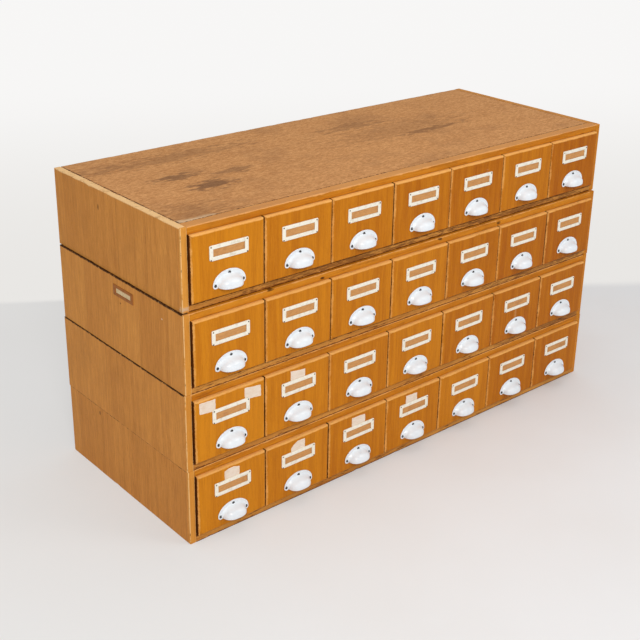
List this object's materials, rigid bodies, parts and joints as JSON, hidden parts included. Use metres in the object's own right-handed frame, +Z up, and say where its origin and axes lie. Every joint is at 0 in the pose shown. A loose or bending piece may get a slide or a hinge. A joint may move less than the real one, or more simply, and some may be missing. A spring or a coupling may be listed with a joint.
{
  "type": "card index cabinet",
  "caption": "Low wooden card index cabinet: stacked units of small drawers with label holders and cup pulls.",
  "frame": {"origin": "middle of the overall box, on the surface that the cabinet stands on", "axes": "+X to the right seen from the front, -Y towards the front (the drawers open along -Y), +Z up"},
  "size_m": [1.0966, 0.455, 0.6],
  "materials": {
    "carcass_wood": "worn satin lacquer",
    "drawer_wood": "satin lacquer",
    "enamel": "gloss enamel"
  },
  "bodies": {
    "cabinet": {"unit_1_carcass": "carcass_wood", "unit_2_carcass": "carcass_wood", "unit_3_carcass": "carcass_wood", "unit_4_carcass": "carcass_wood"},
    "drawer_1_1": {"drawer_1_1_box": "drawer_wood", "drawer_1_1_fittings": "enamel"},
    "drawer_1_2": {"drawer_1_2_box": "drawer_wood", "drawer_1_2_fittings": "enamel"},
    "drawer_1_3": {"drawer_1_3_box": "drawer_wood", "drawer_1_3_fittings": "enamel"},
    "drawer_1_4": {"drawer_1_4_box": "drawer_wood", "drawer_1_4_fittings": "enamel"},
    "drawer_1_5": {"drawer_1_5_box": "drawer_wood", "drawer_1_5_fittings": "enamel"},
    "drawer_1_6": {"drawer_1_6_box": "drawer_wood", "drawer_1_6_fittings": "enamel"},
    "drawer_1_7": {"drawer_1_7_box": "drawer_wood", "drawer_1_7_fittings": "enamel"},
    "drawer_2_1": {"drawer_2_1_box": "drawer_wood", "drawer_2_1_fittings": "enamel"},
    "drawer_2_2": {"drawer_2_2_box": "drawer_wood", "drawer_2_2_fittings": "enamel"},
    "drawer_2_3": {"drawer_2_3_box": "drawer_wood", "drawer_2_3_fittings": "enamel"},
    "drawer_2_4": {"drawer_2_4_box": "drawer_wood", "drawer_2_4_fittings": "enamel"},
    "drawer_2_5": {"drawer_2_5_box": "drawer_wood", "drawer_2_5_fittings": "enamel"},
    "drawer_2_6": {"drawer_2_6_box": "drawer_wood", "drawer_2_6_fittings": "enamel"},
    "drawer_2_7": {"drawer_2_7_box": "drawer_wood", "drawer_2_7_fittings": "enamel"},
    "drawer_3_1": {"drawer_3_1_box": "drawer_wood", "drawer_3_1_fittings": "enamel"},
    "drawer_3_2": {"drawer_3_2_box": "drawer_wood", "drawer_3_2_fittings": "enamel"},
    "drawer_3_3": {"drawer_3_3_box": "drawer_wood", "drawer_3_3_fittings": "enamel"},
    "drawer_3_4": {"drawer_3_4_box": "drawer_wood", "drawer_3_4_fittings": "enamel"},
    "drawer_3_5": {"drawer_3_5_box": "drawer_wood", "drawer_3_5_fittings": "enamel"},
    "drawer_3_6": {"drawer_3_6_box": "drawer_wood", "drawer_3_6_fittings": "enamel"},
    "drawer_3_7": {"drawer_3_7_box": "drawer_wood", "drawer_3_7_fittings": "enamel"},
    "drawer_4_1": {"drawer_4_1_box": "drawer_wood", "drawer_4_1_fittings": "enamel"},
    "drawer_4_2": {"drawer_4_2_box": "drawer_wood", "drawer_4_2_fittings": "enamel"},
    "drawer_4_3": {"drawer_4_3_box": "drawer_wood", "drawer_4_3_fittings": "enamel"},
    "drawer_4_4": {"drawer_4_4_box": "drawer_wood", "drawer_4_4_fittings": "enamel"},
    "drawer_4_5": {"drawer_4_5_box": "drawer_wood", "drawer_4_5_fittings": "enamel"},
    "drawer_4_6": {"drawer_4_6_box": "drawer_wood", "drawer_4_6_fittings": "enamel"},
    "drawer_4_7": {"drawer_4_7_box": "drawer_wood", "drawer_4_7_fittings": "enamel"}
  },
  "joints": [
    {"name": "drawer_1_1_slide", "type": "slide", "parent": "cabinet", "child": "drawer_1_1", "axis": [0, -1, 0], "range_m": [0, 0.33]},
    {"name": "drawer_1_2_slide", "type": "slide", "parent": "cabinet", "child": "drawer_1_2", "axis": [0, -1, 0], "range_m": [0, 0.33]},
    {"name": "drawer_1_3_slide", "type": "slide", "parent": "cabinet", "child": "drawer_1_3", "axis": [0, -1, 0], "range_m": [0, 0.33]},
    {"name": "drawer_1_4_slide", "type": "slide", "parent": "cabinet", "child": "drawer_1_4", "axis": [0, -1, 0], "range_m": [0, 0.33]},
    {"name": "drawer_1_5_slide", "type": "slide", "parent": "cabinet", "child": "drawer_1_5", "axis": [0, -1, 0], "range_m": [0, 0.33]},
    {"name": "drawer_1_6_slide", "type": "slide", "parent": "cabinet", "child": "drawer_1_6", "axis": [0, -1, 0], "range_m": [0, 0.33]},
    {"name": "drawer_1_7_slide", "type": "slide", "parent": "cabinet", "child": "drawer_1_7", "axis": [0, -1, 0], "range_m": [0, 0.33]},
    {"name": "drawer_2_1_slide", "type": "slide", "parent": "cabinet", "child": "drawer_2_1", "axis": [0, -1, 0], "range_m": [0, 0.33]},
    {"name": "drawer_2_2_slide", "type": "slide", "parent": "cabinet", "child": "drawer_2_2", "axis": [0, -1, 0], "range_m": [0, 0.33]},
    {"name": "drawer_2_3_slide", "type": "slide", "parent": "cabinet", "child": "drawer_2_3", "axis": [0, -1, 0], "range_m": [0, 0.33]},
    {"name": "drawer_2_4_slide", "type": "slide", "parent": "cabinet", "child": "drawer_2_4", "axis": [0, -1, 0], "range_m": [0, 0.33]},
    {"name": "drawer_2_5_slide", "type": "slide", "parent": "cabinet", "child": "drawer_2_5", "axis": [0, -1, 0], "range_m": [0, 0.33]},
    {"name": "drawer_2_6_slide", "type": "slide", "parent": "cabinet", "child": "drawer_2_6", "axis": [0, -1, 0], "range_m": [0, 0.33]},
    {"name": "drawer_2_7_slide", "type": "slide", "parent": "cabinet", "child": "drawer_2_7", "axis": [0, -1, 0], "range_m": [0, 0.33]},
    {"name": "drawer_3_1_slide", "type": "slide", "parent": "cabinet", "child": "drawer_3_1", "axis": [0, -1, 0], "range_m": [0, 0.33]},
    {"name": "drawer_3_2_slide", "type": "slide", "parent": "cabinet", "child": "drawer_3_2", "axis": [0, -1, 0], "range_m": [0, 0.33]},
    {"name": "drawer_3_3_slide", "type": "slide", "parent": "cabinet", "child": "drawer_3_3", "axis": [0, -1, 0], "range_m": [0, 0.33]},
    {"name": "drawer_3_4_slide", "type": "slide", "parent": "cabinet", "child": "drawer_3_4", "axis": [0, -1, 0], "range_m": [0, 0.33]},
    {"name": "drawer_3_5_slide", "type": "slide", "parent": "cabinet", "child": "drawer_3_5", "axis": [0, -1, 0], "range_m": [0, 0.33]},
    {"name": "drawer_3_6_slide", "type": "slide", "parent": "cabinet", "child": "drawer_3_6", "axis": [0, -1, 0], "range_m": [0, 0.33]},
    {"name": "drawer_3_7_slide", "type": "slide", "parent": "cabinet", "child": "drawer_3_7", "axis": [0, -1, 0], "range_m": [0, 0.33]},
    {"name": "drawer_4_1_slide", "type": "slide", "parent": "cabinet", "child": "drawer_4_1", "axis": [0, -1, 0], "range_m": [0, 0.33]},
    {"name": "drawer_4_2_slide", "type": "slide", "parent": "cabinet", "child": "drawer_4_2", "axis": [0, -1, 0], "range_m": [0, 0.33]},
    {"name": "drawer_4_3_slide", "type": "slide", "parent": "cabinet", "child": "drawer_4_3", "axis": [0, -1, 0], "range_m": [0, 0.33]},
    {"name": "drawer_4_4_slide", "type": "slide", "parent": "cabinet", "child": "drawer_4_4", "axis": [0, -1, 0], "range_m": [0, 0.33]},
    {"name": "drawer_4_5_slide", "type": "slide", "parent": "cabinet", "child": "drawer_4_5", "axis": [0, -1, 0], "range_m": [0, 0.33]},
    {"name": "drawer_4_6_slide", "type": "slide", "parent": "cabinet", "child": "drawer_4_6", "axis": [0, -1, 0], "range_m": [0, 0.33]},
    {"name": "drawer_4_7_slide", "type": "slide", "parent": "cabinet", "child": "drawer_4_7", "axis": [0, -1, 0], "range_m": [0, 0.33]}
  ]
}
